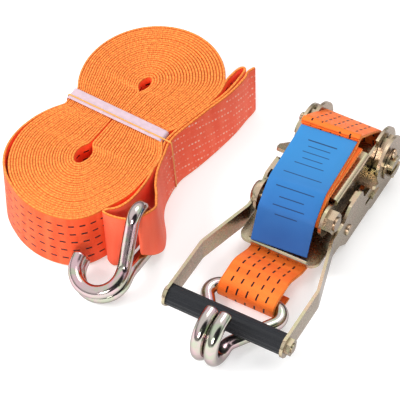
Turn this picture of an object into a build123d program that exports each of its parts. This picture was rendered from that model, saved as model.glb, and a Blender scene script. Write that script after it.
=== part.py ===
from build123d import *
import math
import os

# Ratchet tie down for 50 mm webbing, lying closed on a flat surface.
# The origin is the middle of the spool axis.  X runs along the spool, -Y from the spool
# toward the hand grip, +Z up.  "Reach" is the distance from the spool toward the grip (-Y).
# All lengths are in millimetres and all angles in degrees.

# ---------------------------------------------------------------- driving sizes
floor_z = -24.0                 # surface that the tie down lies on
sheet = 2.5                     # thickness of the stamped steel sides
running_gap = 0.08              # radial clearance of turning fits
slide_gap = 0.3                 # clearance round the sliding pawls
soft_gap = 0.3                  # clearance kept round webbing

# base frame
base_inner = 27.0               # half width between the base sides
base_top = 27.8                 # top face of the web
web_start = 22.0                # reach where the web begins
web_end = 78.0                  # reach where the web ends
base_round = 22.0               # radius of the base sides below the spool
lobe_round = 28.5               # radius of the cam lobes behind the spool
ear_round = 13.6                # radius round the strap bolt
bolt_reach = 93.0
bolt_z = 19.0
bend_round = 3.5                # outside bend of the folded base

# handle
cheek_round = 24.0              # ring of the cheek round the spool
cheek_low_top = 5.0             # top edge where the lock pawl passes over
cheek_wall_top = 17.0           # top of the raised guard
guard_start = 50.0              # reach where the raised guard is full height
guard_end = 66.0
arm_height = 20.0
arm_start = 92.0                # reach where the arm leaves the cheek
knee_reach = 150.0              # reach of the bend that ends the flare
knee_round = 14.0
grip_reach = 201.0
grip_z = -2.0
grip_half_gap = 50.5            # half distance between the arm centres at the grip
grip_round = 8.8
grip_rib_count = 16
grip_rib_round = 0.9
grip_rod_round = 4.0

# spool
shaft_round = 9.0
shaft_end = 2.6                 # shaft left beyond the middle of each cotter pin
webbing_slot = 5.0              # gap between the two half shafts
wheel_side_gap = 0.5            # on both faces of each ratchet wheel
wheel_thick = 5.0
tooth_count = 12
tooth_tip = 22.5
tooth_root = 17.5
washer_round = 13.0
washer_thick = 1.5
pin_round = 1.4

# pawls
pawl_thick = 3.0
lock_angle = 18.0               # slope of the lock pawl's plane through the spool axis
lock_toe = 19.5                 # radius that the lock pawl reaches in the wheels
lock_travel = 5.0
lock_back = 43.0                # radius of the lock pawl's far edge
lock_ear_out = 6.0              # how far each ear stands out of its cheek
drive_z = -7.0
drive_toe = 22.3                # reach where the drive pawl's toes end
drive_travel = 8.0
drive_side_gap = 2.5            # between the plate and each cheek
drive_ear_out = 2.5             # how far each ear stands out of its cheek
drive_ear_end = 34.0
pull_start = 84.0               # reach where the plate widens to the finger pull
pull_end = 122.0                # reach of the finger pull's front edge
pull_side_gap = 1.0
pull_corner = 8.0
spring_window = 8.0             # half width of the spring window
spring_window_start = 48.0
spring_round = 3.6              # mean radius of the coil springs
spring_wire = 0.6               # radius of the spring wire
bridge_reach = 73.0
bridge_length = 14.0
bridge_height = 13.0
bridge_thick = 2.0
rivet_round = 2.5
spring_tab_reach = 61.0         # face of the web's tab that the lock spring pushes on

# strap bolt
bolt_round = 6.0
bolt_head_round = 10.0
bolt_head_thick = 6.0

# webbing
strap_width = 50.0
strap_thick = 2.4
label_width = 46.5
label_thick = 1.0
label_shift = -2.0

# hooks
wire_round = 5.5
eye_half = 31.0                 # half width of the eye between wire centres
prong_half = 5.8                # half distance between the two prongs
hook_reach = 52.0               # from the eye bar to the centre of the bends
hook_round = 19.2               # mean radius of the bends
hook_tip = 7.0                  # straight end after each bend
eye_corner = 9.0
neck_length = 46.0
neck_round = 12.0
hook_behind_grip = 36.5         # from the short strap's hook bar to the grip
short_hook_height = 10.6        # height of the eye bar above the floor
strap_rise_start = 80.5         # places of the short strap's bends, behind its hook bar
strap_rise_bend = 40.5
strap_rise_end = 18.5

# coiled strap
lobe_far = (-163.5, -35.0, 58.2, 66.7)     # centre x, y and half widths in x and y
lobe_near = (-165.0, -133.8, 61.6, 65.0)
waist_left = -210.4
waist_right = -121.8
eye_far = (-165.0, -40.5)
eye_near = (-169.0, -130.0)
eye_half_width = 5.5
eye_half_length = 10.5
eye_slit = 2.6
band_reach = 82.0
band_width = 12.6
band_thick = 0.8
rubber_width = 2.2
rubber_thick = 1.0
band_groove = 2.6               # how far the bands press into the coil's lower edge
strand_space = 5.8              # room of the strands between the two bands
strand_face = -111.0            # side of the near lobe that the hook loop lies against
tail_inner = [(-119.0, -75.0), (-111.7, -57.0), (-107.6, -38.0), (-101.6, -14.0), (-100.0, 7.0)]
tail_gap = 3.4                  # between the middles of the tail's two plies
loop_width = 40.0               # hook loop, drawn in where it passes through the eye
loop_drop = 2.0                 # how far the loop sits below the middle of the eye bar
loop_round = 7.7                # bend of the loop round the eye bar

# long strap's hook: middle of its eye bar and how it leans
coil_hook_at = (-94.3, -155.9, 16.6)
coil_hook_turn = 5.0
coil_hook_tilt = 24.5
coil_hook_roll = -3.0

# ---------------------------------------------------------------- derived places
base_outer = base_inner + sheet
wheel_inner = base_outer + wheel_side_gap
wheel_outer = wheel_inner + wheel_thick
cheek_inner = wheel_outer + wheel_side_gap
cheek_outer = cheek_inner + sheet
pin_x = cheek_outer + washer_thick + soft_gap + pin_round + 0.2
shaft_half_length = pin_x + shaft_end
lock_ear_half = cheek_outer + lock_ear_out
drive_half = cheek_inner - drive_side_gap
drive_ear_half = cheek_outer + drive_ear_out
pull_half = cheek_inner - pull_side_gap
arm_low = grip_z - arm_height / 2
arm_high = grip_z + arm_height / 2
strap_half = strap_width / 2
short_hook_reach = grip_reach - hook_behind_grip
short_hook_z = floor_z + short_hook_height
coil_hook_turned = Rot(0, 0, coil_hook_turn) * Rot(coil_hook_tilt, 0, 0) * Rot(0, coil_hook_roll, 0)
bar_line = (coil_hook_turned * Pos(0, 0, 1)).position

parts = {}


# ---------------------------------------------------------------- helpers
def side_plate(profile, x_low, x_high):
    """Extrude a side profile, drawn as (reach, z), between two X positions."""
    plane = Plane(origin=(x_high, 0, 0), x_dir=(0, -1, 0), z_dir=(-1, 0, 0))
    return extrude(plane * profile, amount=x_high - x_low)


def both_sides(profile, x_low, x_high):
    """The same side profile on the right and, mirrored, on the left."""
    return side_plate(profile, x_low, x_high), side_plate(profile, -x_high, -x_low)


def rod_x(radius, x_low, x_high, reach=0.0, z=0.0):
    """Round bar along X."""
    return side_plate(Pos(reach, z) * Circle(radius), x_low, x_high)


def slot_profile(start, end, half, angle=0.0, z=0.0):
    """Rectangle from start to end along a direction through the spool axis."""
    middle = Pos((start + end) / 2, z) * Rectangle(end - start, 2 * half)
    return Rot(0, 0, angle) * middle


def ribbon(points, radii, thickness, x_low, x_high):
    """Webbing whose side view follows a filleted path of (reach, z) points."""
    path = FilletPolyline(*points, radius=radii)
    return side_plate(trace(path, line_width=thickness), x_low, x_high)


def upright_ribbon(points, radii, thickness, z_low, height):
    """Webbing standing on its edge, along a filleted path of (x, y) points."""
    path = FilletPolyline(*points, radius=radii)
    return Pos(0, 0, z_low) * extrude(trace(path, line_width=thickness), amount=height)


def spring(length, turns):
    """Compression spring along +Z from the origin."""
    coil = Helix(pitch=length / turns, height=length, radius=spring_round)
    section = Plane(origin=coil @ 0, z_dir=coil % 0) * Circle(spring_wire)
    return sweep(section, path=coil, is_frenet=True)


def double_j_hook():
    """Bent wire hook: eye bar along X through the origin, bends toward -Y and up."""
    spread = math.degrees(math.atan((eye_half - prong_half) / neck_length))
    for _ in range(8):
        corner_x = eye_half - eye_corner + eye_corner * math.tan(math.radians(45 + spread / 2))
        spread = math.degrees(math.atan((corner_x - prong_half) / neck_length))
    bend_far = hook_reach + hook_round
    bend_top = 2 * hook_round
    half = [
        (corner_x, 0, 0),
        (prong_half, -neck_length, 0),
        (prong_half, -bend_far, 0),
        (prong_half, -bend_far, bend_top),
        (prong_half, -(hook_reach - hook_tip), bend_top),
    ]
    mirrored = [(-x, y, z) for x, y, z in reversed(half)]
    bends = [hook_round - 0.01, hook_round - 0.01, neck_round, eye_corner]
    path = FilletPolyline(*mirrored, *half, radius=bends + bends[::-1])
    section = Plane(origin=path @ 0, z_dir=path % 0) * Circle(wire_round)
    wire = sweep(section, path=path)
    ends = wire.faces().filter_by(GeomType.PLANE).edges()
    return fillet(ends, wire_round * 0.45)


# ---------------------------------------------------------------- handle
def handle_sides():
    """Stamped cheek with its guard, pawl slot and the arm that carries the grip."""
    outline = Polygon(
        (-17, floor_z), (30, floor_z), (35, floor_z + 2.5), (76, floor_z + 2.5),
        (arm_start - 4, arm_low), (arm_start + 6, arm_low), (arm_start + 6, arm_high),
        (guard_end + 16, arm_high), (guard_end + 4, cheek_wall_top),
        (guard_start, cheek_wall_top), (guard_start - 4, cheek_low_top),
        (0, cheek_low_top), (-17, 0), align=None,
    )
    corners = [v for v in outline.vertices() if 36 < v.X < arm_start]
    outline = fillet(corners, 3.5) + Circle(cheek_round)
    pawl_slot = slot_profile(drive_toe - 0.6, drive_ear_end + drive_travel + 0.6,
                             pawl_thick / 2 + slide_gap, z=drive_z)
    rivet_hole = Pos(bridge_reach, drive_z) * Circle(rivet_round)
    profile = outline - Circle(shaft_round + running_gap) - pawl_slot - rivet_hole
    arm_path = FilletPolyline(
        (cheek_inner + sheet / 2, -arm_start),
        (cheek_inner + sheet / 2, -(arm_start + 8)),
        (grip_half_gap, -knee_reach),
        (grip_half_gap, -(grip_reach + arm_height / 2)),
        radius=[knee_round, knee_round],
    )
    strip = Pos(0, 0, arm_low) * extrude(trace(arm_path, line_width=sheet), amount=arm_height)
    end_round = Pos(grip_reach, grip_z) * Circle(arm_height / 2)
    straight = Pos((arm_start + grip_reach) / 2, grip_z)
    allowed = straight * Rectangle(grip_reach - arm_start + 8, arm_height) + end_round
    allowed -= Pos(grip_reach, grip_z) * Circle(grip_rod_round)
    arm = strip & side_plate(allowed, 0, grip_half_gap + 9)
    guard_lip = side_plate(
        Pos((guard_start + guard_end) / 2 + 1, cheek_wall_top - sheet / 2)
        * Rectangle(guard_end - guard_start - 4, sheet),
        cheek_inner - 3.0, cheek_outer - 0.5,
    )
    lip_edges = guard_lip.edges().filter_by(Axis.Y).group_by(Axis.Z)[-1]
    guard_lip = fillet(lip_edges, 1.1)
    right = side_plate(profile, cheek_inner, cheek_outer) + arm + guard_lip
    parts["handle_right_side"] = right
    parts["handle_left_side"] = mirror(right, about=Plane.YZ)


def grip():
    """Ribbed sleeve on a headed rod with a nut."""
    half = grip_half_gap - sheet / 2
    section = Circle(grip_round - grip_rib_round / 2) - Circle(grip_rod_round)
    for i in range(grip_rib_count):
        angle = i * 360 / grip_rib_count
        section += Rot(0, 0, angle) * Pos(grip_round - grip_rib_round, 0) * Circle(grip_rib_round)
    sleeve = side_plate(Pos(grip_reach, grip_z) * section, -half, half)
    parts["grip_sleeve"] = sleeve
    outer = grip_half_gap + sheet / 2
    rod = rod_x(grip_rod_round, -outer, outer + 5, grip_reach, grip_z)
    head = rod_x(7.0, -outer - 2.2, -outer, grip_reach, grip_z)
    head = fillet(head.faces().sort_by(Axis.X)[0].edges(), 1.6)
    parts["grip_rod"] = rod + head
    nut = Pos(grip_reach, grip_z) * (RegularPolygon(7.2, 6) - Circle(grip_rod_round))
    nut = side_plate(nut, outer, outer + 4)
    parts["grip_rod_nut"] = nut


def spring_bridge():
    """Bracket between the cheeks whose tab carries the drive pawl's spring."""
    ear_in = cheek_inner - bridge_thick
    low = drive_z - 7.5
    block = side_plate(Pos(bridge_reach, low + bridge_height / 2)
                       * Rectangle(bridge_length, bridge_height), -cheek_inner, cheek_inner)
    hollow = side_plate(Pos(bridge_reach, low + bridge_thick + bridge_height / 2)
                        * Rectangle(bridge_length + 2, bridge_height), -ear_in, ear_in)
    tab = side_plate(Pos(bridge_reach - 1, low + 6) * Rectangle(2, 12), -5, 5)
    holes = both_sides(Pos(bridge_reach, drive_z) * Circle(rivet_round), ear_in, cheek_inner)
    parts["spring_bridge"] = block - hollow - holes[0] - holes[1] + tab
    rivets = []
    for side in (-1, 1):
        low_x, high_x = sorted((side * ear_in, side * (cheek_outer + 0.5)))
        shank = rod_x(rivet_round, low_x, high_x, bridge_reach, drive_z)
        low_x, high_x = sorted((side * cheek_outer, side * (cheek_outer + 2.0)))
        head = rod_x(4.8, low_x, high_x, bridge_reach, drive_z)
        rim = head.faces().sort_by(Axis.X)[-1 if side > 0 else 0].edges()
        rivets.append(shank + fillet(rim, 1.5))
    parts["bridge_rivets"] = Compound(rivets)


def drive_pawl():
    """Flat pawl in the handle slots that widens to the finger pull."""
    half = [
        (0, 31), (wheel_inner + 0.3, 31), (wheel_inner + 0.3, drive_toe),
        (drive_ear_half, drive_toe), (drive_ear_half, drive_ear_end),
        (drive_half + 1.5, drive_ear_end), (drive_half, 40), (drive_half, pull_start),
        (pull_half, pull_start + 4), (pull_half, pull_end), (0, pull_end),
    ]
    outline = half + [(-x, r) for x, r in reversed(half[1:-1])]
    face = make_face(Polyline(*[(x, -r) for x, r in outline], close=True))
    corners = [v for v in face.vertices() if v.Y < -(pull_end - 1)]
    face = fillet(corners, pull_corner)
    window = Pos(0, -(spring_window_start + 19)) * Rectangle(2 * spring_window, 38)
    window = fillet(window.vertices(), 2)
    plate = Pos(0, 0, drive_z - pawl_thick / 2) * extrude(face - window, amount=pawl_thick)
    bead_half = pull_half - pull_corner - 1
    bead = Pos(0, -(pull_end - 2.4), drive_z) * Rot(0, 90, 0) * Cylinder(2.4, 2 * bead_half)
    parts["drive_pawl"] = plate + bead
    start = bridge_reach - 2 - spring_wire - 0.2
    length = start - spring_window_start - spring_wire - 0.2
    coil = Pos(0, -start, drive_z) * Rot(-90, 0, 0) * spring(length, 8)
    parts["drive_pawl_spring"] = coil


# ---------------------------------------------------------------- base
def base_frame():
    """Folded channel: two sides with cam lobes and bolt ears, joined by the web."""
    body = Polygon(
        (0, 0), (18, -10), (30, 2.5), (bolt_reach - 13, bolt_z - ear_round - 1.5),
        (bolt_reach, bolt_z - ear_round), (bolt_reach, bolt_z), (bolt_reach - 9, bolt_z + 6),
        (web_end, base_top - bend_round), (web_start, base_top - bend_round),
        (10, base_top - 4), (0, base_round), align=None,
    )
    lobe = Circle(lobe_round) & (Rot(0, 0, 120) * Pos(20, 0) * Rectangle(40, 58))
    lobe_cut = Polygon((0, 0), (14, 60), (-60, 60), (-60, -8), align=None)
    profile = Circle(base_round) + (lobe & lobe_cut) + body
    profile += Pos(bolt_reach, bolt_z) * Circle(ear_round)
    lock_slot = slot_profile(lock_toe + 5, lock_back + lock_travel + 0.8,
                             pawl_thick / 2 + slide_gap, lock_angle)
    profile -= Circle(shaft_round + running_gap)
    profile -= lock_slot
    profile -= Pos(bolt_reach, bolt_z) * Circle(bolt_round + running_gap)
    profile -= Pos(-6, 22.5) * Circle(2.2)
    right, left = both_sides(profile, base_inner, base_outer)
    length = web_end - web_start
    section = Rectangle(2 * base_outer, 12) - Pos(0, -sheet) * Rectangle(2 * base_inner, 12)
    corners = section.vertices().group_by(Axis.Y)[-1]
    section = fillet(corners, bend_round)
    channel = Plane(origin=(0, -web_start, base_top - 6), x_dir=(1, 0, 0), z_dir=(0, -1, 0))
    channel = extrude(channel * section, amount=length)
    tab = side_plate(Pos(spring_tab_reach + 1, 19.5) * Rectangle(2, 14), -6, 6)
    trim = side_plate(slot_profile(lock_toe + 5, lock_back + lock_travel + 0.8,
                                   pawl_thick / 2 + slide_gap, lock_angle), -60, 60)
    parts["base_frame"] = right + left + channel + tab - trim


def lock_pawl():
    """Spring loaded pawl through the base slots, with toes in the wheels and ears outside."""
    half = [
        (0, 30), (24, 30), (base_inner, lock_toe + 6), (wheel_inner + 0.3, lock_toe + 6),
        (wheel_inner + 0.3, lock_toe), (wheel_outer - 0.3, lock_toe),
        (wheel_outer - 0.3, lock_toe + 6.5), (cheek_outer, lock_toe + 8),
        (lock_ear_half, 36), (lock_ear_half, lock_back), (0, lock_back),
    ]
    outline = half + [(-x, r) for x, r in reversed(half[1:-1])]
    face = make_face(Polyline(*[(x, -r) for x, r in outline], close=True))
    corners = [v for v in face.vertices() if abs(v.X) > lock_ear_half - 1]
    face = fillet(corners, 2.5)
    plate = Pos(0, 0, -pawl_thick / 2) * extrude(face, amount=pawl_thick)
    parts["lock_pawl"] = Rot(-lock_angle, 0, 0) * plate
    start = lock_back + spring_wire + 0.2
    length = spring_tab_reach / math.cos(math.radians(lock_angle)) - start - 2.4
    coil = Pos(0, -start, 0) * Rot(90, 0, 0) * spring(length, 6)
    parts["lock_pawl_spring"] = Rot(-lock_angle, 0, 0) * coil


def strap_bolt():
    """Bolt through the base ears that carries the short strap's sewn loop."""
    outer = base_outer
    bolt = rod_x(bolt_round, -outer, outer + 8, bolt_reach, bolt_z)
    head = rod_x(bolt_head_round, -outer - bolt_head_thick, -outer, bolt_reach, bolt_z)
    head = fillet(head.faces().sort_by(Axis.X)[0].edges(), 3.5)
    parts["strap_bolt"] = bolt + head
    hexagon = Pos(bolt_reach, bolt_z) * (RegularPolygon(bolt_head_round, 6) - Circle(bolt_round))
    parts["strap_bolt_nut"] = side_plate(hexagon, outer, outer + 6.5)


# ---------------------------------------------------------------- spool
def spool():
    """Two half shafts, two toothed wheels, washers and cotter pins."""
    half_gap = webbing_slot / 2
    upper_cut = Pos(0, half_gap + shaft_round) * Rectangle(4 * shaft_round, 2 * shaft_round)
    upper = Circle(shaft_round) & upper_cut
    lower = Rot(0, 0, 180) * upper
    pin_holes = [Pos(side * pin_x, 0, 0) * Cylinder(pin_round, 60) for side in (-1, 1)]
    for name, section in (("spool_upper_half", upper), ("spool_lower_half", lower)):
        shaft = side_plate(section, -shaft_half_length, shaft_half_length)
        for hole in pin_holes:
            shaft -= hole
        parts[name] = shaft
    pitch = 360 / tooth_count
    face_offset = pawl_thick / 2 + 0.25
    tip_angle = lock_angle - math.degrees(math.asin(face_offset / tooth_tip))
    root_angle = lock_angle - math.degrees(math.asin(face_offset / tooth_root))
    points = []
    for i in range(tooth_count):
        for radius, start in ((tooth_tip, tip_angle), (tooth_root, root_angle)):
            angle = math.radians(start + i * pitch)
            points.append((radius * math.cos(angle), radius * math.sin(angle)))
    wheel = make_face(Polyline(*points, close=True)) - upper - lower
    right, left = both_sides(wheel, wheel_inner, wheel_outer)
    parts["ratchet_wheel_right"] = right
    parts["ratchet_wheel_left"] = left
    ring = Circle(washer_round) - Circle(shaft_round + running_gap)
    start = cheek_outer + soft_gap
    washers = both_sides(ring, start, start + washer_thick)
    parts["spool_washers"] = Compound(list(washers))
    pins = []
    for side in (-1, 1):
        legs = Pos(side * pin_x, 0, -1.0) * Cylinder(pin_round, 25)
        eye = Pos(side * pin_x, 0, 14) * Rot(0, 90, 0) * Torus(2.6, pin_round)
        pins.append(legs + eye)
    parts["cotter_pins"] = Compound(pins)


# ---------------------------------------------------------------- short strap
def short_strap():
    """Sewn round the bolt, over the web, down behind the spool, out to the hook."""
    wrap = bolt_round + soft_gap + strap_thick / 2
    web_z = base_top + soft_gap + strap_thick / 2
    top_z = web_z + strap_thick + 0.1
    back = bolt_reach - wrap
    front = bolt_reach + wrap
    low = floor_z + 0.5 + strap_thick / 2
    eye = wire_round + 2.4 + strap_thick / 2
    hook_front = short_hook_reach + eye
    points = [
        (26, web_z), (back, web_z), (back, bolt_z - wrap), (front, bolt_z - wrap),
        (front, bolt_z + 4.7), (back - 1.5, top_z), (34, top_z), (20, top_z + 2.4),
        (-25, 9), (-25, -15), (-12, low), (short_hook_reach - strap_rise_start, low),
        (short_hook_reach - strap_rise_bend, -14.8), (short_hook_reach - strap_rise_end, -3.2),
        (hook_front, short_hook_z + eye), (hook_front, short_hook_z - eye + 0.1),
        (short_hook_reach - strap_rise_end, low),
    ]
    radii = [3.4, wrap - 0.05, wrap - 0.05, wrap - 0.05, 6, 12, 6, 10, 8, 8,
             20, 20, 20, eye - 0.1, eye - 0.1]
    parts["short_strap"] = ribbon(points, radii, strap_thick, -strap_half, strap_half)
    label_z = top_z + strap_thick / 2 + soft_gap + label_thick / 2 + 0.4
    label_points = [(24, label_z + 2.2), (40, label_z), (back + 2, label_z),
                    (front + 6, bolt_z + 5), (pull_end - 2.5, drive_z + 3.4)]
    parts["strap_label"] = ribbon(label_points, [20, 8, 10], label_thick,
                                  label_shift - label_width / 2, label_shift + label_width / 2)


# ---------------------------------------------------------------- hooks
def hooks():
    """The same double-J hook on both straps."""
    hook = double_j_hook()
    lowest = floor_z + wire_round
    rise = lowest + hook_round - short_hook_z
    tilt = math.degrees(math.atan2(hook_round, hook_reach)) - math.degrees(
        math.asin(rise / math.hypot(hook_round, hook_reach)))
    parts["short_strap_hook"] = (
        Pos(0, -short_hook_reach, short_hook_z) * Rot(tilt, 0, 0) * hook)
    upright = Rot(0, -90, 0) * hook
    parts["long_strap_hook"] = Pos(*coil_hook_at) * coil_hook_turned * upright


# ---------------------------------------------------------------- coiled strap
def coiled_strap():
    """Long strap wound flat on its edge into a waisted coil, held by bands."""
    outline = Sketch()
    for x, y, half_x, half_y in (lobe_far, lobe_near):
        outline += Pos(x, y) * Ellipse(half_x, half_y)
    zone = band_width + 2 * rubber_width + 1.2
    middle_x = (waist_left + waist_right) / 2
    outline += Pos(middle_x, -band_reach) * Rectangle(waist_right - waist_left, zone)
    for edge, side in ((waist_left, -1), (waist_right, 1)):
        outline -= Pos(edge + side * 10, -band_reach) * Rectangle(20, zone)
    outline -= Pos(strand_face + 20, lobe_near[1]) * Rectangle(40, 76)
    tail_side = [(x - strap_thick / 2 - soft_gap, y) for x, y in tail_inner]
    tail_side = [(-80, tail_inner[0][1]), (-80, 40), (tail_side[-1][0], 40)] + tail_side[::-1]
    outline -= make_face(Polyline(*tail_side, close=True))
    for x, y in (eye_far, eye_near):
        outline -= Pos(x, y) * Ellipse(eye_half_width, eye_half_length)
    slit = Polyline(eye_far, eye_near)
    outline -= trace(slit, line_width=eye_slit)
    coil = Pos(0, 0, floor_z) * extrude(outline, amount=strap_width)
    slot = Box(200, zone, band_groove)
    coil -= Pos(middle_x, -band_reach, floor_z + band_groove / 2) * slot
    parts["coiled_strap"] = coil


def waist_ring(y_middle, width, thick, slack):
    """Closed band round the coil at its waist, with slack on the strands' side."""
    left = waist_left - soft_gap - thick
    right = waist_right + soft_gap + thick + slack
    bottom = floor_z + band_groove - soft_gap - thick
    top = floor_z + strap_width + soft_gap + thick
    middle = ((left + right) / 2, y_middle, (bottom + top) / 2)
    plane = Plane(origin=middle, x_dir=(1, 0, 0), z_dir=(0, -1, 0))
    outer = RectangleRounded(right - left, top - bottom, thick + 0.3)
    inner = RectangleRounded(right - left - 2 * thick, top - bottom - 2 * thick, 0.3)
    return extrude(plane * (outer - inner), amount=width / 2, both=True)


def coil_pieces():
    """Sewn tail, hook loop, plastic band and rubber band at the coil's waist."""
    low = floor_z + soft_gap
    tail = tail_inner + [(x + tail_gap, y) for x, y in reversed(tail_inner)]
    parts["sewn_tail"] = upright_ribbon(tail, [30, 30, 30, 1.6, 1.6, 30, 30, 30], strap_thick,
                                        low, strap_width - soft_gap)
    bar_x = coil_hook_at[0] - loop_drop * bar_line.X
    bar_y = coil_hook_at[1] - loop_drop * bar_line.Y
    bar_z = coil_hook_at[2] - loop_drop * bar_line.Z
    loop = [(strand_face + 4.1, -98.5), (-102.4, -118), (bar_x + loop_round, bar_y + 8),
            (bar_x + loop_round, bar_y - loop_round), (bar_x - loop_round - 0.6, bar_y - loop_round),
            (bar_x - loop_round - 0.6, bar_y + 14), (strand_face + 1.4, -98.5)]
    path = FilletPolyline(*loop, radius=[20, 12, loop_round - 0.1, loop_round - 0.1, 20])
    strip = Pos(0, 0, bar_z) * trace(path, line_width=strap_thick)
    parts["hook_loop"] = extrude(strip, amount=loop_width / 2, dir=bar_line, both=True)
    parts["plastic_band"] = waist_ring(-band_reach, band_width, band_thick, 0)
    rubber_y = -band_reach - (band_width + rubber_width) / 2 - 0.3
    parts["rubber_band"] = waist_ring(rubber_y, rubber_width, rubber_thick, strand_space)


handle_sides()
grip()
spring_bridge()
drive_pawl()
base_frame()
lock_pawl()
strap_bolt()
spool()
short_strap()
hooks()
coiled_strap()
coil_pieces()

os.makedirs("parts", exist_ok=True)
for name, shape in parts.items():
    export_step(shape, f"parts/{name}.step")
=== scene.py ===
"""Ratchet tie down: a closed buckle on a short hooked strap, and a long hooked strap wound into a
banded coil beside it.  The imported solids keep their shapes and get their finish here.  The
webbing, the label, the two bands and the pawl springs are made here.

Lines and their helpers are in millimetres, like the part; meshes and all else are in metres.
"""
import math

import bpy
import numpy as np
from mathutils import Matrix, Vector


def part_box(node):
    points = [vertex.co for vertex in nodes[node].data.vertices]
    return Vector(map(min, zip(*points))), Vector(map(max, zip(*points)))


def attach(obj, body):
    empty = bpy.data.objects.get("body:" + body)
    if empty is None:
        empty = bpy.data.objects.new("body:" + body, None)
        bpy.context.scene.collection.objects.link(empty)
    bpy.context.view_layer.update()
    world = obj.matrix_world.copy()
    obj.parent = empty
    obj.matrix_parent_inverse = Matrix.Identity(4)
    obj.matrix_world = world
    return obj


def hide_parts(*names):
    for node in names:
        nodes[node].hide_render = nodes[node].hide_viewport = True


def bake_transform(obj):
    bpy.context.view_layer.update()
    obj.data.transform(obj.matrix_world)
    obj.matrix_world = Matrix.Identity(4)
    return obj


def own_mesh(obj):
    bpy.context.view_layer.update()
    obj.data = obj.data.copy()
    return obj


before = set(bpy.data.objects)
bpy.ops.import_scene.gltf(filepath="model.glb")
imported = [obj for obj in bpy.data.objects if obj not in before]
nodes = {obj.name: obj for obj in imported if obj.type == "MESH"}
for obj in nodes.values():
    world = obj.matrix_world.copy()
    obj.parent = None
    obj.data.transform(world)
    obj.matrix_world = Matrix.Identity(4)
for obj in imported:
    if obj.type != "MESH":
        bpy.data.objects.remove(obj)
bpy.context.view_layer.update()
MM = 0.001


# ---------------------------------------------------------------- places taken from the solids
def low(solid, axis):
    """Lowest coordinate of a solid along an axis, in millimetres."""
    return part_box(solid)[0]["xyz".index(axis)] / MM


def high(solid, axis):
    """Highest coordinate of a solid along an axis, in millimetres."""
    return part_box(solid)[1]["xyz".index(axis)] / MM


floor_z = low("coiled_strap", "z")
web_top = high("base_frame", "z")
bolt_reach = -(low("strap_bolt_nut", "y") + high("strap_bolt_nut", "y")) / 2
bolt_z = (low("strap_bolt_nut", "z") + high("strap_bolt_nut", "z")) / 2
bolt_round = 6.0
wire_round = 5.5                # radius of the hooks' wire
short_bar_height = 10.6         # height of the short strap's hook bar above the floor
short_bar_reach = -high("short_strap_hook", "y") + wire_round
short_bar_z = floor_z + short_bar_height
strap_width = 50.0
strap_thick = 2.3
ARC_STEPS = 12                  # straight pieces in a rounded corner


# ---------------------------------------------------------------- path and mesh helpers
def rounded_path(corners, radii, step=1.0):
    """Evenly spaced points along a polyline whose inner corners are rounded."""
    corners = [np.array(corner, float) for corner in corners]
    line = [corners[0]]
    for before, corner, after, radius in zip(corners, corners[1:], corners[2:], radii):
        back = (before - corner) / np.linalg.norm(before - corner)
        ahead = (after - corner) / np.linalg.norm(after - corner)
        half = math.acos(np.clip(back @ ahead, -1, 1)) / 2
        room = min(np.linalg.norm(before - corner), np.linalg.norm(after - corner)) * 0.98
        radius = min(radius, room * math.tan(half))
        cut = radius / math.tan(half)
        middle = corner + (back + ahead) / np.linalg.norm(back + ahead) * radius / math.sin(half)
        first = corner + back * cut - middle
        last = corner + ahead * cut - middle
        turn = math.pi - 2 * half
        for i in range(ARC_STEPS + 1):
            share = i / ARC_STEPS
            if turn > 1e-4:
                from_first = math.sin((1 - share) * turn) / math.sin(turn)
                from_last = math.sin(share * turn) / math.sin(turn)
            else:
                from_first, from_last = 1 - share, share
            line.append(middle + from_first * first + from_last * last)
    line.append(corners[-1])
    return even_steps(np.array(line), step)


def run_lengths(line):
    """Length of a line from its start to each of its points."""
    return np.concatenate([[0], np.cumsum(np.linalg.norm(np.diff(line, axis=0), axis=1))])


def even_steps(line, step):
    """The same line with points at even distances."""
    lengths = run_lengths(line)
    keep = np.concatenate([[True], np.diff(lengths) > 1e-6])
    line, lengths = line[keep], lengths[keep]
    count = max(2, int(round(lengths[-1] / step)) + 1)
    at = np.linspace(0, lengths[-1], count)
    return np.stack([np.interp(at, lengths, line[:, k]) for k in range(line.shape[1])], axis=1)


def directions(line):
    """Unit direction of travel at each point of a line."""
    ahead = np.gradient(line, axis=0)
    return ahead / np.linalg.norm(ahead, axis=1)[:, None]


def web_section(columns, corner_steps=3):
    """Ring round a flat strap with rolled edges, as (share of the half width, out, up).

    out and up are shares of half the strap's thickness.
    """
    ring = []
    for side in (1, -1):
        ring += [(a, 0.0, 1.0 * side) for a in np.linspace(-side, side, columns)]
        for i in range(1, corner_steps + 1):
            angle = side * (math.pi / 2 - math.pi * i / (corner_steps + 1))
            ring.append((side, math.cos(angle), math.sin(angle)))
    return ring


def in_scene(name, data):
    """New object in the scene that holds a mesh, a lamp or a camera."""
    made = bpy.data.objects.new(name, data)
    bpy.context.scene.collection.objects.link(made)
    return made


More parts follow.
